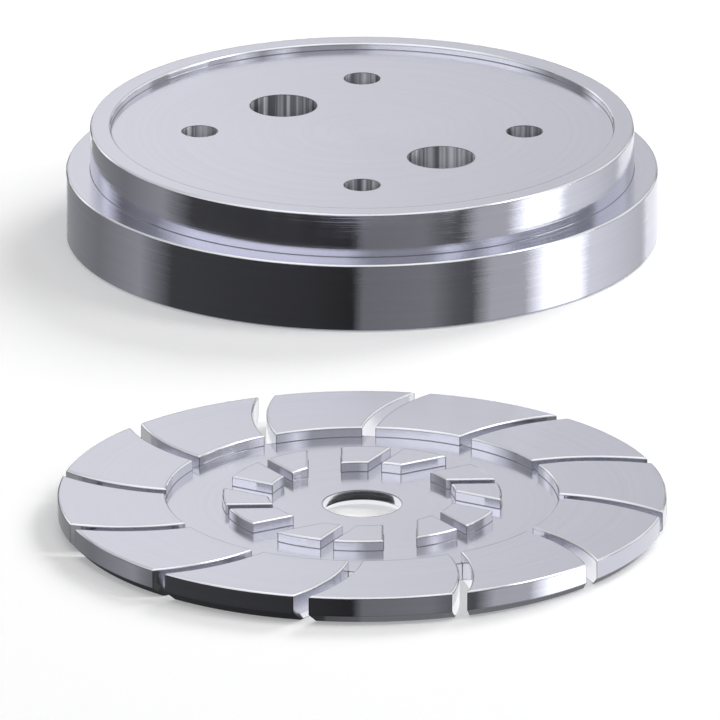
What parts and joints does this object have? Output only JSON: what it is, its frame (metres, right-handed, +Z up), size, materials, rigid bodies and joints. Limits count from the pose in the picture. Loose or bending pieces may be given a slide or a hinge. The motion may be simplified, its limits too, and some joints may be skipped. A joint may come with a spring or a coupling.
{
  "type": "espresso shower screen",
  "caption": "Espresso shower screen: a stepped round dispersion block bored for water and screws, and the thin round screen with curved slots and raised pads that goes under it.",
  "frame": {"origin": "midway between the axes of the two pieces, on the flat surface they rest on", "axes": "+Z up along both pieces' axes, +Y from the screen's axis to the block's axis, +X to the right"},
  "size_m": [0.058, 0.1406, 0.0112],
  "materials": {
    "polished_steel": "turned and polished, fine lathe marks"
  },
  "bodies": {
    "root": {"dispersion_block": "polished_steel", "slotted_screen": "polished_steel"}
  },
  "joints": []
}
